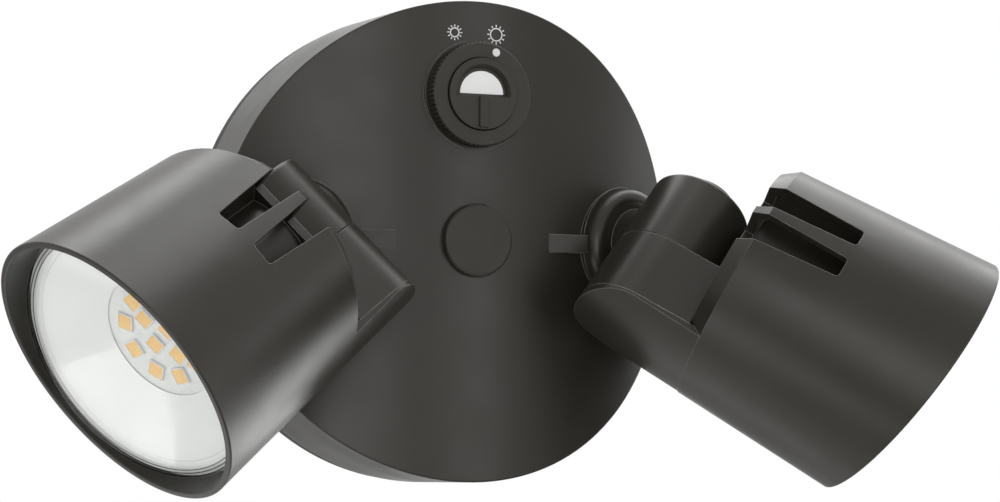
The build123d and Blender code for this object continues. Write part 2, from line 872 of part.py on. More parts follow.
with BuildPart() as heel:
    with BuildSketch(head):
        with BuildLine():
            Polyline(
                (-barrel_radius, 0),
                (-barrel_radius, can_radius(-barrel_radius) - fixed_gap),
                (bevel_end, can_radius(bevel_end) - fixed_gap),
                (bevel_end, 0),
                close=True,
            )
        make_face()
    revolve(axis=head_axis)
    with BuildSketch(head.offset(-can_rear_radius)):
        knuckle_outline(bevel_end)
    extrude(amount=can_rear_radius + heel_top, mode=Mode.INTERSECT)

with BuildPart() as head_shell:
    # Outside of the can, turned about its axis, with the heel under the neck
    with BuildSketch(head):
        with BuildLine():
            Polyline(
                (can_rear, 0),
                (can_rear, can_rear_radius - can_bevel_radius),
                (bevel_end, can_rear_radius),
                (rim_reach, can_radius(rim_reach)),
                (rim_reach, 0),
                close=True,
            )
        make_face()
    revolve(axis=head_axis)
    # Oblique rim: longer on the side that faces forward and up
    split(bisect_by=rim_plane, keep=Keep.BOTTOM)
    add(heel.part)
    # Inside, with the core that carries the light board and the ledge under the lens
    ledge_front = lens_position - flange_thickness - lens_gasket_thickness
    ledge_back = ledge_front - ledge_depth
    ledge_radius = can_radius(lens_position) - rim_wall - lens_side_gap - lens_ring_width
    ledge_foot = ledge_back - (can_radius(ledge_back) - can_wall - ledge_radius)
    inner_bevel = floor_end + can_bevel_length - can_wall
    with BuildSketch(head):
        with BuildLine():
            Polyline(
                (floor_end, core_radius),
                (core_end, core_radius),
                (core_end, 0),
                (rim_reach, 0),
                (rim_reach, can_radius(rim_reach) - rim_wall),
                (ledge_front, can_radius(ledge_front) - rim_wall),
                (ledge_front, ledge_radius),
                (ledge_back, ledge_radius),
                (ledge_foot, can_radius(ledge_foot) - can_wall),
                (inner_bevel, can_radius(inner_bevel) - can_wall),
                (floor_end, can_radius(inner_bevel) - can_wall - can_bevel_radius),
                close=True,
            )
        make_face()
    revolve(axis=head_axis, mode=Mode.SUBTRACT)
    # Cooling fins between the core and the can, clear of the slots and the neck screws
    for fin_angle in fin_angles:
        with BuildSketch(fin_plane(fin_angle)):
            with BuildLine():
                Polyline(
                    (floor_end - can_floor / 2, core_radius - fin_bite),
                    (core_end - fin_bite, core_radius - fin_bite),
                    (core_end - fin_bite, can_radius(core_end - fin_bite) - can_wall / 2),
                    (inner_bevel, can_radius(inner_bevel) - can_wall / 2),
                    (
                        floor_end - can_floor / 2,
                        can_radius(inner_bevel) - can_wall / 2 - can_bevel_radius,
                    ),
                    close=True,
                )
            make_face()
        extrude(amount=fin_thickness / 2, both=True)
    # Two slots on each side, open at the rear, with a tapered tongue between them
    for outward in (1, -1):
        with BuildSketch(vent_side.offset(outward * vent_floor)) as vent_profile:
            for up in (1, -1):
                with BuildLine():
                    Polyline(
                        (can_rear - can_floor, up * vent_tongue_rear / 2),
                        (can_rear, up * vent_tongue_rear / 2),
                        (vent_end, up * vent_tongue_end / 2),
                        (vent_end, up * (vent_tongue_end / 2 + vent_width_end)),
                        (can_rear, up * (vent_tongue_rear / 2 + vent_width_rear)),
                        (can_rear - can_floor, up * (vent_tongue_rear / 2 + vent_width_rear)),
                        close=True,
                    )
                make_face()
            fillet(vent_profile.vertices().group_by(Axis.X)[-1], vent_corner)
        extrude(amount=outward * can_rear_radius, mode=Mode.SUBTRACT)
    # Holes in the floor for the neck screws and the leads
    with BuildSketch(across_can(can_rear)):
        with Locations((neck_screw_w, -neck_screw_h), (-neck_screw_w, -neck_screw_h)):
            Circle(neck_screw_radius + fixed_gap)
        with Locations((0, -neck_screw_h)):
            Circle(lead_hole_radius)
    extrude(amount=can_floor, mode=Mode.SUBTRACT)
    rim_face = head_shell.faces().sort_by(Axis(rim_plane.origin, rim_plane.z_dir))[-1]
    fillet(rim_face.edges(), rim_edge)

save_pair(head_shell, "head_shell")

with BuildPart() as head_neck:
    with BuildSketch(head.offset(heel_top)):
        knuckle_outline(can_rear)
    extrude(amount=neck_top - heel_top)
    with BuildSketch(head.offset(-pivot_depth)):
        Circle(pivot_radius + fixed_gap)
    extrude(amount=pivot_depth, mode=Mode.SUBTRACT)
    # Way for the leads, down from the pivot bolt and forward into the can
    with BuildSketch(head.offset(-neck_screw_h)):
        Circle(lead_hole_radius)
    extrude(amount=neck_screw_h, mode=Mode.SUBTRACT)
    with BuildSketch(across_can(0)):
        with Locations((0, -neck_screw_h)):
            Circle(lead_hole_radius)
    extrude(amount=can_rear, mode=Mode.SUBTRACT)
    with BuildSketch(across_can(can_rear - neck_screw_length)):
        with Locations((neck_screw_w, -neck_screw_h), (-neck_screw_w, -neck_screw_h)):
            Circle(neck_screw_radius)
    extrude(amount=neck_screw_length, mode=Mode.SUBTRACT)

save_pair(head_neck, "head_neck")

with BuildPart() as neck_screws:
    with BuildSketch(across_can(floor_end)):
        with Locations((neck_screw_w, -neck_screw_h), (-neck_screw_w, -neck_screw_h)):
            Circle(neck_head_radius)
    extrude(amount=neck_head_height)
    with BuildSketch(across_can(can_rear - neck_screw_length)):
        with Locations((neck_screw_w, -neck_screw_h), (-neck_screw_w, -neck_screw_h)):
            Circle(neck_screw_radius)
    extrude(amount=neck_screw_length + can_floor)

save_pair(neck_screws, "neck_screws")

pivot_washer_base = barrel_up + face_gap
pivot_head_base = pivot_washer_base + pivot_washer_thickness

with BuildPart() as pivot_washer:
    with BuildSketch(head.offset(pivot_washer_base)):
        Circle(pivot_washer_radius)
        Circle(pivot_radius + fixed_gap, mode=Mode.SUBTRACT)
    extrude(amount=pivot_washer_thickness)

save_pair(pivot_washer, "pivot_washer")

with BuildPart() as pivot_bolt:
    with BuildSketch(head.offset(pivot_head_base)):
        Circle(pivot_head_radius)
    extrude(amount=pivot_head_height)
    fillet(pivot_bolt.edges().sort_by(Axis(head_origin, pan_up))[-1], pivot_head_edge)
    with BuildSketch(head.offset(-pivot_depth)):
        Circle(pivot_radius)
    extrude(amount=pivot_depth + pivot_head_base)
    with BuildSketch(head.offset(-pivot_depth)):
        Circle(pivot_bore_radius)
    extrude(amount=pivot_depth + barrel_room_up, mode=Mode.SUBTRACT)
    with BuildSketch(across_can(0)):
        with Locations((0, pan_drop)):
            Circle(pivot_bore_radius)
    extrude(amount=pivot_radius, both=True, mode=Mode.SUBTRACT)

save_pair(pivot_bolt, "pivot_bolt")

led_plane = core_end + led_board_thickness
led_screw_place = led_board_radius - led_screw_edge_gap - led_screw_head_radius

with BuildPart() as led_board:
    with BuildSketch(across_can(core_end)):
        Circle(led_board_radius)
    extrude(amount=led_board_thickness)

save_pair(led_board, "led_board")

with BuildPart() as led_chips:
    with BuildSketch(across_can(led_plane)):
        with PolarLocations(led_outer_radius, led_outer_count, start_angle=led_outer_start):
            Rectangle(led_size, led_size)
        with Locations((led_inner_w, 0), (-led_inner_w, 0), (0, led_inner_h), (0, -led_inner_h)):
            Rectangle(led_size, led_size)
    extrude(amount=led_height)

save_pair(led_chips, "led_chips")

with BuildPart() as led_screws:
    with BuildSketch(across_can(led_plane)):
        with PolarLocations(led_screw_place, 2, start_angle=led_outer_start):
            Circle(led_screw_head_radius)
    extrude(amount=led_screw_head_height)

save_pair(led_screws, "led_screws")

# Reflector: shallow cone from the board's edge to a flange under the lens
flange_back = lens_position - flange_thickness
lens_radius = can_radius(lens_position) - rim_wall - lens_side_gap
throat_back = led_plane + reflector_lift

with BuildPart() as reflector:
    with BuildSketch(head):
        with BuildLine():
            Polyline(
                (throat_back, reflector_throat),
                (throat_back, reflector_throat + reflector_wall),
                (flange_back, ledge_radius - moving_gap),
                (flange_back, lens_radius),
                (lens_position, lens_radius),
                (lens_position, ledge_radius - moving_gap),
                close=True,
            )
        make_face()
    revolve(axis=head_axis)

save_pair(reflector, "reflector")

with BuildPart() as lens_gasket:
    with BuildSketch(across_can(ledge_front)):
        Circle(lens_radius)
        Circle(ledge_radius, mode=Mode.SUBTRACT)
    extrude(amount=lens_gasket_thickness)

save_pair(lens_gasket, "lens_gasket")

with BuildPart() as lens:
    with BuildSketch(across_can(lens_position)):
        Circle(lens_radius)
    extrude(amount=lens_thickness)

save_pair(lens, "lens")
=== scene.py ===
import bmesh
import bpy
import json
import math
from mathutils import Matrix, Vector


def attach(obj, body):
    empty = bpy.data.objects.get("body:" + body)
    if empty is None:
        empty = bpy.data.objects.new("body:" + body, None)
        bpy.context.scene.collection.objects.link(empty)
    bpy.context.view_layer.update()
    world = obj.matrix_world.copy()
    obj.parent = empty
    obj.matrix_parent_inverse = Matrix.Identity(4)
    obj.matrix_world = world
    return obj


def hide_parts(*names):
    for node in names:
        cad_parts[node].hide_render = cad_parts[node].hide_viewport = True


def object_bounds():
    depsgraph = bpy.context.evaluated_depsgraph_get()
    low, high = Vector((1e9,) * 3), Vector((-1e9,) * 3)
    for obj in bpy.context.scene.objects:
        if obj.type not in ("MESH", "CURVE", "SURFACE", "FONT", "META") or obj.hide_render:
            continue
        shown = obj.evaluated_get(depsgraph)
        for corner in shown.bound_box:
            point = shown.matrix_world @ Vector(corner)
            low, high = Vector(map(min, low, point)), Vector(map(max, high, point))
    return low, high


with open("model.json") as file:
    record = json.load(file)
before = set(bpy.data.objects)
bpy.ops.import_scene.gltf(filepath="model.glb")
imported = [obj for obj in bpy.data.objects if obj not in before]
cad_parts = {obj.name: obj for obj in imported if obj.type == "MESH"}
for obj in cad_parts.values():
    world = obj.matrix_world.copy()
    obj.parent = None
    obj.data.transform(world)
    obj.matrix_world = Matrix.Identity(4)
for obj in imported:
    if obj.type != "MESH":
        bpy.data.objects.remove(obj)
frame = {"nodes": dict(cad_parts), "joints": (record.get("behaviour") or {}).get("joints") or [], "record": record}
cad_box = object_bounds()

# Lengths are in metres and angles in degrees
MM = 0.001

# Canopy and brightness ring
CANOPY_DEPTH = 51.3 * MM
BOW_RADIUS = 132.0 * MM
DIAL_Z = 44.2 * MM
KNOB_PROUD = 4.6 * MM
INDEX_RADIUS = 13.57 * MM
INDEX_ANGLE = 19.4
INDEX_DOT_RADIUS = 1.27 * MM
INDEX_DOT_DEPTH = 0.2 * MM
INDEX_DOT_SIDE = 0.10 * MM
INDEX_DOT_EDGE = 0.06 * MM
INDEX_DOT_CROWN = 0.14 * MM
INDEX_DOT_SEGMENTS = 40

# Printed suns: each has its place across, ring radius, stroke, and where its rays start and end
INK_THICKNESS = 0.03 * MM
INK_SINK = 0.002 * MM
SUN_LIFT = 18.9 * MM
SUN_SIDES = 36
SUN_RAYS = 12
RAY_ROOT_SHARE = 0.5
RAY_TIP_SHARE = 0.42
SUNS = {
    "print_dim": (-7.25 * MM, 1.18 * MM, 0.36 * MM, 1.75 * MM, 2.4 * MM),
    "print_bright": (6.3 * MM, 1.72 * MM, 0.38 * MM, 2.3 * MM, 3.0 * MM),
}

# Angle at the pan axis between the arm's swivel axis and the head
PAN_ANGLE = 45.1

# Lens, placed along the head from its pan axis. Each groove has its outer radius and width
LENS_BACK = 67.84 * MM
LENS_THICKNESS = 1.92 * MM
LENS_RADIUS = 38.72 * MM
LENS_WINDOW = 35.0 * MM
LENS_DOME = 0.4 * MM
LENS_DOME_STEPS = 12
LENS_FACE_INSET = 0.1 * MM
LENS_CHAMFER_DEPTH = 0.3 * MM
LENS_CHAMFER_WIDTH = 0.2 * MM
LENS_DISH_DEPTH = 0.5 * MM
LENS_DISH_FOOT = 1.2 * MM
LENS_DISH_EDGE = 0.6 * MM
LENS_GROOVES = ((38.3 * MM, 0.5 * MM), (37.2 * MM, 0.35 * MM), (36.2 * MM, 0.3 * MM))
GROOVE_DEPTH = 0.08 * MM
GROOVE_DRAFT = 0.04 * MM
LENS_SEGMENTS = 180

# Edges that turn by more than this are drawn sharp
SHARP_ANGLE = 30
LENS_SHARP_ANGLE = 20

# Light-emitting packages, placed along the head too
LED_PLANE = 59.3 * MM
LED_SIZE = 4.9 * MM
LED_HEIGHT = 0.85 * MM
LED_FRAME_WIDTH = 0.34 * MM
LED_STEP_WIDTH = 0.05 * MM
LED_STEP_DEPTH = 0.10 * MM
LED_CROWN_WIDTH = 0.6 * MM
LED_CROWN_HEIGHT = 0.07 * MM
LED_OUTER_RADIUS = 12.2 * MM
LED_OUTER_COUNT = 9
LED_OUTER_START = 17.0
LED_INNER = ((3.9 * MM, 0), (-3.9 * MM, 0), (0, 6.7 * MM), (0, -6.7 * MM))

# Range that noise wanders in, and cosines by which a bevelled normal leaves the true one at an edge
NOISE_RANGE = (0.3, 0.7)
EDGE_COSINES = (0.995, 0.9)
BEVEL_SAMPLES = 6

# Gloss of the clear lens, straight on and at a grazing angle
LENS_TINT = (0.985, 0.99, 0.988)
# Tint of the lens grooves: painted shade, darkening what is seen through them into dark rings
GROOVE_SHADE_TINT = (0.22, 0.22, 0.21)
LENS_GLOSS = (0.035, 1.0)
LENS_GLOSS_POWER = 5.0
LENS_ROUGHNESS = 0.03
LENS_WAVE_SIZE = 12 * MM
LENS_WAVE_HEIGHT = 0.02 * MM
LENS_WAVE_STRENGTH = 0.4

# Moulded plastics: colour, lighter colour and roughness. The lighter colour serves as random tone and as a painted
# highlight on edges
PLASTICS = {
    "bronze_plastic": ((0.026, 0.024, 0.0185), (0.036, 0.033, 0.027), 0.5),
    "driver_shell": ((0.02, 0.02, 0.02), (0.035, 0.035, 0.035), 0.55),
    "component_black": ((0.015, 0.015, 0.016), (0.03, 0.03, 0.032), 0.4),
}

# Rubbers: colour and the colour of their bloom
RUBBERS = {
    "seal_rubber": ((0.012, 0.012, 0.012), (0.03, 0.03, 0.03)),
    "seal_white": ((0.72, 0.72, 0.7), (0.8, 0.8, 0.78)),
}

# Glossy pale plastics: colour, darker colour, roughness and weight of the coat
GLOSSY_PLASTICS = {
    "sensor_clear": ((0.7, 0.7, 0.66), (0.6, 0.6, 0.56), 0.15, 0.6),
    "white_diffuser": ((0.86, 0.86, 0.85), (0.8, 0.8, 0.79), 0.2, 0.5),
    "led_body": ((0.78, 0.78, 0.80), (0.72, 0.72, 0.74), 0.3, 0.2),
    "white_reflector": ((0.87, 0.87, 0.86), (0.83, 0.83, 0.83), 0.14, 0.8),
}

# Camera solved from the photograph, which is 1000 x 502 pixels. The sensor's width is in millimetres
PHOTO_WIDTH = 1000
PHOTO_HEIGHT = 502
CAMERA_PLACE = Vector((-0.2688, -0.7329, -0.0407))
CAMERA_FORWARD = Vector((0.3877, 0.9204, 0.0504))
CAMERA_ROLL = 0.146
FOCAL_PIXELS = 2422.0
CENTRE_PIXEL = (532.1, 253.1)
SENSOR_WIDTH = 36.0

# Studio
WHITE = (1, 1, 1, 1)
BACKDROP_STRENGTH = 1.0
WORLD_STRENGTH = 0.32
FLOOR_COLOUR = (0.86, 0.86, 0.855)
FLOOR_SHADE = (0.82, 0.82, 0.815)
FLOOR_MOTTLE = 0.2
FLOOR_GLOW = 0.62
FLOOR_DROP = 0.85
FLOOR_REACH = 3.0
LAMP_TARGET = Vector((0, -0.05, 0))

# Lamps: bearing from the front (right positive), height angle, distance, size and radiance
LAMPS = (
    ("overhead", 135, 50, 1.2, (1.3, 0.8), 2.6),
    ("top", 80, 74, 1.2, (0.7, 0.7), 3.0),
    ("back_right", 108, 26, 1.1, (0.4, 0.4), 1.0),
    ("top_left", -150, 62, 1.2, (0.6, 0.5), 4.0),
    ("front", -20, 2, 1.5, (0.85, 0.75), 2.7),
    ("front_right", 20, 2, 1.5, (0.35, 0.75), 2.8),
    ("right", 82, 4, 1.3, (0.25, 0.5), 1.6),
    ("low_left", -130, -48, 0.9, (0.8, 0.5), 0.9),
    ("low_back", 120, -14, 0.9, (0.6, 0.4), 4.4),
    ("mouth", -72, -26, 1.0, (0.7, 0.5), 2.5),
)


class Graph:
    """The emptied node tree of a material or world, with short ways to add nodes."""

    def __init__(self, owner):
        owner.use_nodes = True
        self.nodes = owner.node_tree.nodes
        self.links = owner.node_tree.links
        self.nodes.clear()
        self.normal = None

    def feed(self, socket, value):
        """Give an input a constant, or link it to another node's output."""
        if isinstance(value, bpy.types.NodeSocket):
            self.links.new(value, socket)
        else:
            socket.default_value = value

    def add(self, kind, settings=None, **inputs):
        """A node with its settings and inputs. An input's name has _ for each space."""
        node = self.nodes.new(f"ShaderNode{kind}")
        for name, value in (settings or {}).items():
            setattr(node, name, value)
        for name, value in inputs.items():
            self.feed(node.inputs[name.replace("_", " ")], value)
        return node

    def calculate(self, operation, first, second):
        """Arithmetic on two values."""
        node = self.add("Math", {"operation": operation})
        self.feed(node.inputs[0], first)
        self.feed(node.inputs[1], second)
        return node.outputs["Value"]

    def span(self, value, source, target):
        """The value, moved from one range to another and kept inside it."""
        (low, high), (to_low, to_high) = source, target
        node = self.add("MapRange", Value=value, From_Min=low, From_Max=high, To_Min=to_low, To_Max=to_high)
        return node.outputs["Result"]

    def mix_shaders(self, share, first, second):
        """Two shaders mixed, by the share of the second."""
        node = self.add("MixShader", Fac=share)
        self.feed(node.inputs[1], first)
        self.feed(node.inputs[2], second)
        return node.outputs["Shader"]

    def coordinates(self, stretch=None):
        """The piece's own coordinates, scaled along each axis where that is asked."""
        own = self.add("TexCoord").outputs["Object"]
        if stretch is None:
            return own
        return self.add("Mapping", Vector=own, Scale=stretch).outputs["Vector"]

    def noise(self, size, detail=2.0, roughness=0.5, stretch=None):
        """Noise whose features are about size metres across."""
        node = self.add("TexNoise", Vector=self.coordinates(stretch), Scale=1 / size)
        node.inputs["Detail"].default_value = detail
        node.inputs["Roughness"].default_value = roughness
        return node.outputs["Fac"]

    def cells(self, size, feature="F1"):
        """Distance inside rounded cells about size metres across."""
        node = self.add("TexVoronoi", {"feature": feature}, Vector=self.coordinates(), Scale=1 / size)
        return node.outputs["Distance"]

    def relief(self, value, height, strength=1.0):
        """Normal with relief of the given height in metres, laid over any earlier one."""
        node = self.add("Bump", Strength=strength, Distance=height, Height=value)
        if self.normal:
            self.feed(node.inputs["Normal"], self.normal)
        self.normal = node.outputs["Normal"]
        return self.normal


class Paint(Graph):
    """An opaque procedural material with a Principled shader."""

    def __init__(self, name, colour, roughness, metallic=0.0):
        self.material = bpy.data.materials.new(name)
        super().__init__(self.material)
        self.shader = self.add("BsdfPrincipled")
        self.add("OutputMaterial", Surface=self.shader.outputs["BSDF"])
        self.tint = (*colour, 1)
        self.set(Base_Color=self.tint, Roughness=roughness, Metallic=metallic)

    def set(self, **sockets):
        """Values on the shader's own sockets, such as Coat_Weight=0.2."""
        for name, value in sockets.items():
            self.feed(self.shader.inputs[name.replace("_", " ")], value)

    def rough(self, value, smooth, dull):
        """Roughness that wanders with a pattern."""
        self.set(Roughness=self.span(value, NOISE_RANGE, (smooth, dull)))

    def shade(self, share, colour):
        """Mix in another colour by its share."""
        node = self.add("Mix", {"data_type": "RGBA"}, A=self.tint, B=(*colour, 1), Factor=share)
        self.tint = node.outputs["Result"]
        self.set(Base_Color=self.tint)

    def mottle(self, value, source, share, colour):
        """Mix in another colour, from none up to its share, as the value rises through a range."""
        self.shade(self.span(value, source, (0.0, share)), colour)

    def soften(self, radius):
        """Edges that shade as if rounded by the radius. Returns how near an edge is."""
        self.normal = self.add("Bevel", {"samples": BEVEL_SAMPLES}, Radius=radius).outputs["Normal"]
        self.set(Normal=self.normal)
        turn = self.add("VectorMath", {"operation": "DOT_PRODUCT"})
        self.feed(turn.inputs[0], self.normal)
        self.feed(turn.inputs[1], self.add("NewGeometry").outputs["Normal"])
        return self.span(turn.outputs["Value"], EDGE_COSINES, (0.0, 1.0))

    def bump(self, value, height, strength=1.0):
        """Relief of the given height in metres on the shader."""
        self.set(Normal=self.relief(value, height, strength))


def powder_coat():
    """Dark bronze satin powder coat: fine orange peel, faint flow marks, and edges painted lighter in patches,
    partly as wear and partly as a painted highlight.
    """
    paint = Paint("bronze_paint", (0.0205, 0.0188, 0.0142), roughness=0.33)
    edge = paint.soften(0.35 * MM)
    paint.bump(paint.noise(0.55 * MM, detail=3.0, roughness=0.55), height=0.010 * MM)
    paint.bump(paint.cells(0.22 * MM), height=0.004 * MM, strength=0.6)
    drift = paint.noise(16 * MM, detail=3.0)
    grain = paint.noise(0.3 * MM)
    paint.rough(drift, smooth=0.3, dull=0.38)
    paint.set(Specular_IOR_Level=0.3)
    paint.mottle(drift, (0.35, 0.75), share=0.5, colour=(0.0235, 0.0215, 0.0162))
    paint.mottle(grain, (0.62, 0.8), share=0.5, colour=(0.038, 0.0345, 0.027))
    # Edges painted lighter in patches: partly worn paint, partly a painted highlight standing in for light caught
    # on the edges.
    wear_and_highlight = paint.span(paint.noise(5 * MM, detail=4.0, roughness=0.6), (0.35, 0.7), (0.4, 1.0))
    paint.shade(paint.calculate("MULTIPLY", edge, wear_and_highlight), (0.26, 0.25, 0.23))
    return paint.material


def moulded_plastic(name, colour, light, roughness):
    """Moulded plastic with a spark-eroded grain, and edges painted lighter as a painted highlight."""
    paint = Paint(name, colour, roughness)
    paint.set(Specular_IOR_Level=0.3)
    edge = paint.soften(0.25 * MM)
    paint.bump(paint.cells(0.35 * MM), height=0.006 * MM, strength=0.8)
    drift = paint.noise(7 * MM, detail=3.0)
    paint.rough(drift, smooth=roughness - 0.05, dull=roughness + 0.05)
    paint.mottle(drift, (0.4, 0.8), share=0.5, colour=light)
    # Painted highlight: edges lighter, standing in for light caught on them.
    paint.mottle(edge, (0.0, 1.0), share=0.45, colour=light)
    return paint.material


def closed_foam():
    """Black closed-cell foam, its cells open where it is cut."""
    paint = Paint("foam", (0.022, 0.022, 0.022), roughness=0.9)
    cells = paint.cells(0.8 * MM)
    paint.bump(cells, height=0.12 * MM)
    paint.mottle(cells, (0.1, 0.6), share=0.8, colour=(0.055, 0.055, 0.055))
    paint.rough(paint.noise(2 * MM), smooth=0.8, dull=0.97)
    return paint.material


def rubber(name, colour, light):
    """Moulded rubber with a faint bloom."""
    paint = Paint(name, colour, roughness=0.6)
    bloom = paint.noise(3 * MM, detail=4.0, roughness=0.6)
    paint.mottle(bloom, (0.4, 0.75), share=0.6, colour=light)
    paint.rough(bloom, smooth=0.5, dull=0.72)
    paint.bump(paint.noise(0.4 * MM), height=0.01 * MM)
    return paint.material


def zinc():
    """Zinc-plated steel: rolled grain, pale blue and straw tints, duller spots."""
    paint = Paint("zinc_steel", (0.36, 0.36, 0.355), roughness=0.5, metallic=1.0)
    paint.soften(0.2 * MM)
    rolled = paint.noise(0.5 * MM, stretch=(0.06, 1, 1))
    paint.bump(rolled, height=0.006 * MM)
    bloom = paint.noise(6 * MM, detail=4.0, roughness=0.6)
    paint.mottle(bloom, (0.4, 0.62), share=0.6, colour=(0.33, 0.35, 0.38))
    paint.mottle(bloom, (0.6, 0.8), share=0.5, colour=(0.42, 0.39, 0.31))
    paint.rough(rolled, smooth=0.46, dull=0.6)
    return paint.material


def green_screw():
    """Earth screw with a green dyed finish, thin on its edges."""
    paint = Paint("green_screw", (0.02, 0.16, 0.05), roughness=0.35, metallic=0.6)
    edge = paint.soften(0.3 * MM)
    paint.mottle(paint.noise(1.5 * MM, detail=4.0), (0.4, 0.7), share=0.6, colour=(0.04, 0.24, 0.08))
    paint.shade(paint.calculate("MULTIPLY", edge, paint.noise(1 * MM)), (0.45, 0.5, 0.42))
    paint.bump(paint.noise(0.3 * MM), height=0.006 * MM)
    return paint.material


def green_board():
    """Green solder mask over tracks, with soldered pads."""
    paint = Paint("board_green", (0.012, 0.09, 0.035), roughness=0.36)
    track = paint.span(paint.cells(3.2 * MM, "DISTANCE_TO_EDGE"), (0.10, 0.13), (1.0, 0.0))
    pad = paint.span(paint.cells(4.6 * MM), (0.11, 0.13), (1.0, 0.0))
    paint.shade(track, (0.03, 0.16, 0.06))
    paint.shade(pad, (0.6, 0.6, 0.57))
    paint.bump(track, height=0.03 * MM, strength=0.6)
    paint.rough(paint.noise(4 * MM), smooth=0.3, dull=0.44)
    return paint.material


def white_board():
    """White solder mask of the light board, with faint seams between its copper fields."""
    paint = Paint("board_white", (0.80, 0.80, 0.78), roughness=0.32)
    fields = paint.cells(5.2 * MM, "DISTANCE_TO_EDGE")
    seam = (0.02, 0.06)
    paint.shade(paint.span(fields, seam, (0.35, 0.0)), (0.62, 0.62, 0.61))
    paint.mottle(paint.noise(2 * MM, detail=3.0), (0.4, 0.8), share=0.3, colour=(0.74, 0.74, 0.73))
    paint.bump(paint.span(fields, seam, (1.0, 0.0)), height=-0.02 * MM, strength=0.7)
    paint.rough(paint.noise(1.5 * MM), smooth=0.26, dull=0.4)
    return paint.material


def glossy_plastic(name, colour, shadow, roughness, coat):
    """Pale moulded gloss, with the faintest waves of its mould."""
    paint = Paint(name, colour, roughness)
    waves = paint.noise(9 * MM)
    paint.bump(waves, height=0.05 * MM, strength=0.35)
    paint.mottle(waves, (0.35, 0.8), share=0.6, colour=shadow)
    paint.rough(waves, smooth=roughness - 0.04, dull=roughness + 0.06)
    paint.set(Coat_Weight=coat, Coat_Roughness=0.08)
    return paint.material


def phosphor():
    """Yellow phosphor in clear silicone over the chip."""
    paint = Paint("led_yellow", (0.88, 0.50, 0.10), roughness=0.22)
    grains = paint.noise(0.18 * MM, detail=3.0, roughness=0.6)
    paint.mottle(paint.noise(1.6 * MM), (0.35, 0.7), share=0.6, colour=(0.93, 0.60, 0.17))
    paint.mottle(grains, (0.55, 0.75), share=0.4, colour=(0.95, 0.72, 0.30))
    paint.bump(grains, height=0.006 * MM)
    paint.set(Coat_Weight=0.5, Coat_Roughness=0.12)
    return paint.material


def white_ink():
    """Pad-printed ink, pale grey and a little thin in places."""
    paint = Paint("white_ink", (0.88, 0.88, 0.87), roughness=0.5)
    thin = paint.noise(0.5 * MM, detail=3.0, roughness=0.6)
    paint.mottle(thin, (0.5, 0.8), share=0.6, colour=(0.74, 0.74, 0.73))
    paint.bump(thin, height=0.006 * MM)
    paint.rough(thin, smooth=0.42, dull=0.6)
    return paint.material


def clear_plastic(name, tint):
    """Clear moulded plastic that lets light straight through and reflects by its angle."""
    material = bpy.data.materials.new(name)
    graph = Graph(material)
    facing = graph.add("LayerWeight").outputs["Facing"]
    share = graph.span(graph.calculate("POWER", facing, LENS_GLOSS_POWER), (0.0, 1.0), LENS_GLOSS)
    waves = graph.relief(graph.noise(LENS_WAVE_SIZE), LENS_WAVE_HEIGHT, LENS_WAVE_STRENGTH)
    through = graph.add("BsdfTransparent", Color=(*tint, 1)).outputs["BSDF"]
    gloss = graph.add("BsdfGlossy", Roughness=LENS_ROUGHNESS, Normal=waves).outputs["BSDF"]
    graph.add("OutputMaterial", Surface=graph.mix_shaders(share, through, gloss))
    return material


def add_materials():
    """One material for each slot of the record, and the packages' white body, by name."""
    materials = {name: moulded_plastic(name, *look) for name, look in PLASTICS.items()}
    materials |= {name: rubber(name, *look) for name, look in RUBBERS.items()}
    materials |= {name: glossy_plastic(name, *look) for name, look in GLOSSY_PLASTICS.items()}
    return materials | {
        "bronze_paint": powder_coat(),
        "foam": closed_foam(),
        "zinc_steel": zinc(),
        "green_screw": green_screw(),
        "board_green": green_board(),
        "board_white": white_board(),
        "led_yellow": phosphor(),
        "clear_lens": clear_plastic("clear_lens", LENS_TINT),
    }


def dress_nodes(materials):
    """Give each CAD node the material of its slot in the record."""
    for part in frame["record"]["subparts"]:
        node = frame["nodes"][part["node"]]
        node.data.materials.clear()
        node.data.materials.append(materials[part["material_slot"]])


def head_frame(side):
    """Matrix from head coordinates (along the can, across, up the pan axis) to the row frame."""
    hinges = {joint["name"]: joint for joint in frame["joints"]}
    swivel_axis = Vector(hinges[f"arm_swivel_{side}"]["axis"]).normalized()
    pan = hinges[f"head_pan_{side}"]
    up = Vector(pan["axis"]).normalized()
    hand = 1 if side == "right" else -1
    across = up.cross(swivel_axis) * hand
    turn = math.radians(PAN_ANGLE)
    out = swivel_axis * math.cos(turn) + across * math.sin(turn)
    aside = across * math.cos(turn) - swivel_axis * math.sin(turn)
    matrix = Matrix((out, aside, up)).transposed().to_4x4()
    return Matrix.Translation(Vector(pan["pos_m"])) @ matrix


def circle(steps):
    """Angles in radians, evenly spaced all the way round."""
    return [2 * math.pi * step / steps for step in range(steps)]


def finish_mesh(work, name, materials, matrix=None, sharp=SHARP_ANGLE):
    """Turn a bmesh into an object in the row frame, smooth but for its sharp edges."""
    if matrix is not None:
        work.transform(matrix)
    bmesh.ops.recalc_face_normals(work, faces=work.faces)
    for face in work.faces:
        face.smooth = True
    for edge in work.edges:
        if len(edge.link_faces) == 2 and edge.calc_face_angle(0) > math.radians(sharp):
            edge.smooth = False
    data = bpy.data.meshes.new(name)
    work.to_mesh(data)
    work.free()
    for material in materials:
        data.materials.append(material)
    piece = bpy.data.objects.new(name, data)
    bpy.context.scene.collection.objects.link(piece)
    return piece


def lathe(profile, segments):
    """Closed body turned about the x axis from (length, radius) points."""
    work = bmesh.new()
    rings = []
    for length, radius in profile:
        angles = circle(segments) if radius else [0]
        points = [(length, radius * math.cos(angle), radius * math.sin(angle)) for angle in angles]
        rings.append([work.verts.new(point) for point in points])
    for low, high in zip(rings, rings[1:]):
        for step in range(segments):
            after = (step + 1) % segments
            near = (low[step % len(low)], high[step % len(high)])
            far = (high[after % len(high)], low[after % len(low)])
            corners = list(dict.fromkeys(near + far))
            if len(corners) > 2:
                work.faces.new(corners)
    return work


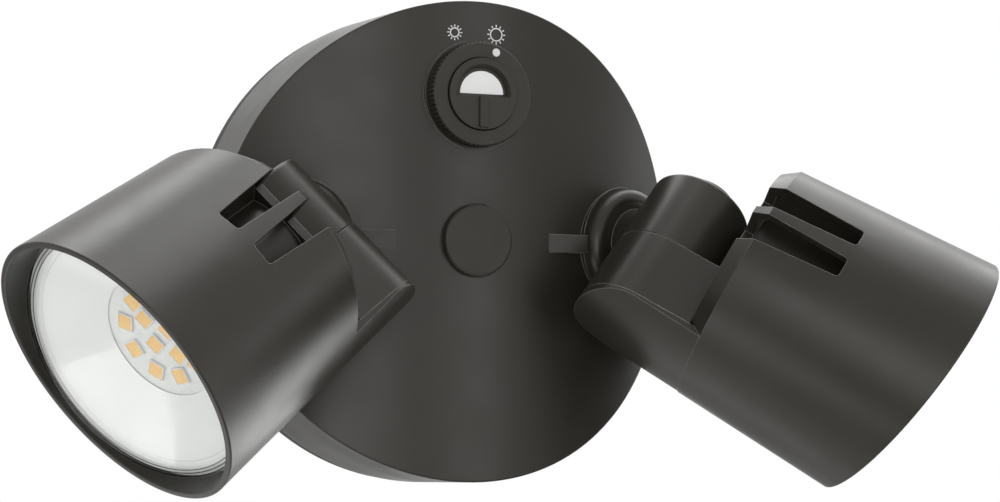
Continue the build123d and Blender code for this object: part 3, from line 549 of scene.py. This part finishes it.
def lens_profile():
    """Half section of the lens, from the middle of its back round to the middle of its front."""
    front = LENS_BACK + LENS_THICKNESS - LENS_FACE_INSET
    dish = LENS_BACK + LENS_DISH_DEPTH
    profile = [
        (dish, 0),
        (dish, LENS_WINDOW - LENS_DISH_FOOT),
        (LENS_BACK, LENS_WINDOW - LENS_DISH_EDGE),
        (LENS_BACK, LENS_RADIUS),
        (front - LENS_CHAMFER_DEPTH, LENS_RADIUS),
        (front, LENS_RADIUS - LENS_CHAMFER_WIDTH),
    ]
    bottom = front - GROOVE_DEPTH
    for outer, width in LENS_GROOVES:
        inner = outer - width
        profile += [(front, outer), (bottom, outer - GROOVE_DRAFT)]
        profile += [(bottom, inner + GROOVE_DRAFT), (front, inner)]
    for step in range(LENS_DOME_STEPS, -1, -1):
        share = step / LENS_DOME_STEPS
        profile.append((front - LENS_DOME * share ** 2, LENS_WINDOW * share))
    return profile


def in_groove(face):
    """Whether a face of the lens lies in a groove of its front."""
    centre = face.calc_center_median()
    reach = math.hypot(centre.y, centre.z)
    cut = any(outer - width < reach < outer for outer, width in LENS_GROOVES)
    return cut and centre.x > LENS_BACK + LENS_DISH_DEPTH


def add_lens(side, materials):
    """Clear lens with a shallow dome and fine moulded grooves round its edge. The grooves have a dark see-through
    tint: painted shade.
    """
    work = lathe(lens_profile(), LENS_SEGMENTS)
    for face in work.faces:
        face.material_index = int(in_groove(face))
    # The grooves' dark tint is painted shade: dark rings drawn into the clear lens.
    shades = [materials["clear_lens"], clear_plastic(f"lens_groove_shade_{side}", GROOVE_SHADE_TINT)]
    piece = finish_mesh(work, f"lens_window_{side}", shades, head_frame(side), LENS_SHARP_ANGLE)
    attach(piece, f"head_{side}_body")
    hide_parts(f"lens_{side}")


def add_package(work, y, z, angle):
    """One light-emitting package: a white frame round a raised yellow window."""
    made = bmesh.ops.create_cube(work, size=1.0)
    turn = Matrix.Rotation(angle, 4, "X")
    size = Matrix.Diagonal((LED_HEIGHT, LED_SIZE, LED_SIZE, 1))
    place = Matrix.Translation((LED_PLANE + LED_HEIGHT / 2, y, z))
    bmesh.ops.transform(work, matrix=place @ turn @ size, verts=made["verts"])
    faces = {face for vert in made["verts"] for face in vert.link_faces}
    top = max(faces, key=lambda face: face.calc_center_median().x)
    insets = (
        (LED_FRAME_WIDTH, 0.0),
        (LED_STEP_WIDTH, -LED_STEP_DEPTH),
        (LED_CROWN_WIDTH, LED_CROWN_HEIGHT),
    )
    for width, depth in insets:
        bmesh.ops.inset_region(work, faces=[top], thickness=width, depth=depth)
    for edge in top.edges:
        for face in edge.link_faces:
            face.material_index = 1


def add_packages(side, materials):
    """The packages on the light board: a ring of them and four in the middle."""
    work = bmesh.new()
    for step in range(LED_OUTER_COUNT):
        angle = math.radians(LED_OUTER_START + 360 * step / LED_OUTER_COUNT)
        add_package(work, LED_OUTER_RADIUS * math.cos(angle), LED_OUTER_RADIUS * math.sin(angle), angle)
    for y, z in LED_INNER:
        add_package(work, y, z, 0)
    shades = [materials["led_body"], materials["led_yellow"]]
    piece = finish_mesh(work, f"light_packages_{side}", shades, head_frame(side))
    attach(piece, f"head_{side}_body")
    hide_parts(f"led_chips_{side}")


def bow_y(x):
    """Place of the bowed front face at x."""
    return BOW_RADIUS - CANOPY_DEPTH - math.sqrt(BOW_RADIUS ** 2 - x ** 2)


def print_points(work, corners):
    """Lower and upper rows of points of a print on the bowed face, from its (x, z) corners."""
    rows = []
    for lift in (INK_SINK, -INK_THICKNESS):
        rows.append([work.verts.new((x, bow_y(x) + lift, z)) for x, z in corners])
    return rows


def join_rows(work, low, high):
    """Faces between two rows of points that both run all the way round."""
    for step, corner in enumerate(low):
        after = (step + 1) % len(low)
        work.faces.new((corner, low[after], high[after], high[step]))


def add_sun(name, ink):
    """A small printed sun: a ring and its rays, each a thin closed form."""
    x, ring, stroke, ray_start, ray_end = SUNS[name]
    z = DIAL_Z + SUN_LIFT
    work = bmesh.new()
    edges = []
    for reach in (ring, ring + stroke):
        corners = [(x + reach * math.cos(angle), z + reach * math.sin(angle)) for angle in circle(SUN_SIDES)]
        edges.append(print_points(work, corners))
    (inner_low, inner_high), (outer_low, outer_high) = edges
    section = (inner_low, outer_low, outer_high, inner_high)
    for first, second in zip(section, section[1:] + section[:1]):
        join_rows(work, first, second)
    root, tip = stroke * RAY_ROOT_SHARE, stroke * RAY_TIP_SHARE
    ray = ((ray_start, -root), (ray_end, -tip), (ray_end, tip), (ray_start, root))
    for angle in circle(SUN_RAYS):
        cosine, sine = math.cos(angle), math.sin(angle)
        corners = [
            (x + out * cosine - aside * sine, z + out * sine + aside * cosine) for out, aside in ray
        ]
        low, high = print_points(work, corners)
        join_rows(work, low, high)
        work.faces.new(low)
        work.faces.new(high)
    piece = finish_mesh(work, name, [ink])
    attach(piece, "canopy")


def add_index_dot(ink):
    """White dot in its recess on the brightness ring."""
    angle = math.radians(90 - INDEX_ANGLE)
    x, z = INDEX_RADIUS * math.cos(angle), DIAL_Z + INDEX_RADIUS * math.sin(angle)
    floor = -(CANOPY_DEPTH + KNOB_PROUD - INDEX_DOT_DEPTH)
    rim = (INDEX_DOT_SIDE, INDEX_DOT_RADIUS - INDEX_DOT_EDGE)
    profile = [(0, 0), (0, INDEX_DOT_RADIUS), rim, (INDEX_DOT_CROWN, 0)]
    place = Matrix.Translation((x, floor, z)) @ Matrix.Rotation(math.radians(-90), 4, "Z")
    dot = finish_mesh(lathe(profile, INDEX_DOT_SEGMENTS), "index_dot", [ink], place)
    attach(dot, "brightness_dial")


def add_lamp(name, place, size, power):
    """Rectangular soft box, turned towards the light and unseen by the camera."""
    data = bpy.data.lights.new(name, "AREA")
    data.shape = "RECTANGLE"
    data.size, data.size_y = size
    data.energy = power
    lamp = bpy.data.objects.new(name, data)
    lamp.location = place
    lamp.rotation_euler = (LAMP_TARGET - lamp.location).to_track_quat("-Z", "Y").to_euler()
    lamp.visible_camera = False
    bpy.context.scene.collection.objects.link(lamp)


def add_lights():
    """Soft studio light: wide boxes overhead and behind, and others round the front and below."""
    for name, bearing, height, distance, size, radiance in LAMPS:
        turn, lift = math.radians(bearing), math.radians(height)
        level = distance * math.cos(lift)
        place = (level * math.sin(turn), -level * math.cos(turn), distance * math.sin(lift))
        add_lamp(name, place, size, radiance * math.pi * size[0] * size[1])


def add_world():
    """White to the camera, in reflections and through the lens, and softer as a lamp."""
    world = bpy.data.worlds.new("studio")
    bpy.context.scene.world = world
    graph = Graph(world)
    path = graph.add("LightPath").outputs
    seen = graph.calculate("MAXIMUM", path["Is Camera Ray"], path["Is Transmission Ray"])
    seen = graph.calculate("MAXIMUM", seen, path["Is Glossy Ray"])
    lamp = graph.add("Background", Color=WHITE, Strength=WORLD_STRENGTH).outputs["Background"]
    backdrop = graph.add("Background", Color=WHITE, Strength=BACKDROP_STRENGTH).outputs["Background"]
    graph.add("OutputWorld", Surface=graph.mix_shaders(seen, lamp, backdrop))


def add_floor():
    """Pale floor, well below the light, which hangs as on its wall."""
    paint = Paint("floor", FLOOR_COLOUR, roughness=0.7)
    paint.mottle(paint.noise(FLOOR_MOTTLE, detail=3.0), (0.4, 0.8), share=0.5, colour=FLOOR_SHADE)
    direct = paint.add("LightPath").outputs["Is Camera Ray"]
    paint.set(Emission_Color=WHITE, Emission_Strength=paint.span(direct, (0, 1), (0, FLOOR_GLOW)))
    low = cad_box[0][2] - FLOOR_DROP
    corners = ((-1, -1), (1, -1), (1, 1), (-1, 1))
    data = bpy.data.meshes.new("floor")
    data.from_pydata([(x * FLOOR_REACH, y * FLOOR_REACH, low) for x, y in corners], [], [(0, 1, 2, 3)])
    data.materials.append(paint.material)
    floor = bpy.data.objects.new("floor", data)
    bpy.context.scene.collection.objects.link(floor)


def add_camera():
    """Camera at the photograph's viewing angle."""
    data = bpy.data.cameras.new("camera")
    data.sensor_width = SENSOR_WIDTH
    data.lens = FOCAL_PIXELS * SENSOR_WIDTH / PHOTO_WIDTH
    data.shift_x = (PHOTO_WIDTH / 2 - CENTRE_PIXEL[0]) / PHOTO_WIDTH
    data.shift_y = (CENTRE_PIXEL[1] - PHOTO_HEIGHT / 2) / PHOTO_WIDTH
    camera = bpy.data.objects.new("camera", data)
    bpy.context.scene.collection.objects.link(camera)
    forward = CAMERA_FORWARD.normalized()
    right = forward.cross(Vector((0, 0, 1))).normalized()
    up = right.cross(forward)
    turn = Matrix((right, up, -forward)).transposed().to_4x4()
    roll = Matrix.Rotation(math.radians(CAMERA_ROLL), 4, "Z")
    camera.matrix_world = Matrix.Translation(CAMERA_PLACE) @ turn @ roll
    bpy.context.scene.camera = camera


materials = add_materials()
dress_nodes(materials)
for side in ("right", "left"):
    add_lens(side, materials)
    add_packages(side, materials)
ink = white_ink()
for name in SUNS:
    add_sun(name, ink)
add_index_dot(ink)
add_world()
add_lights()
add_floor()
add_camera()
bpy.context.scene.view_settings.view_transform = "Standard"
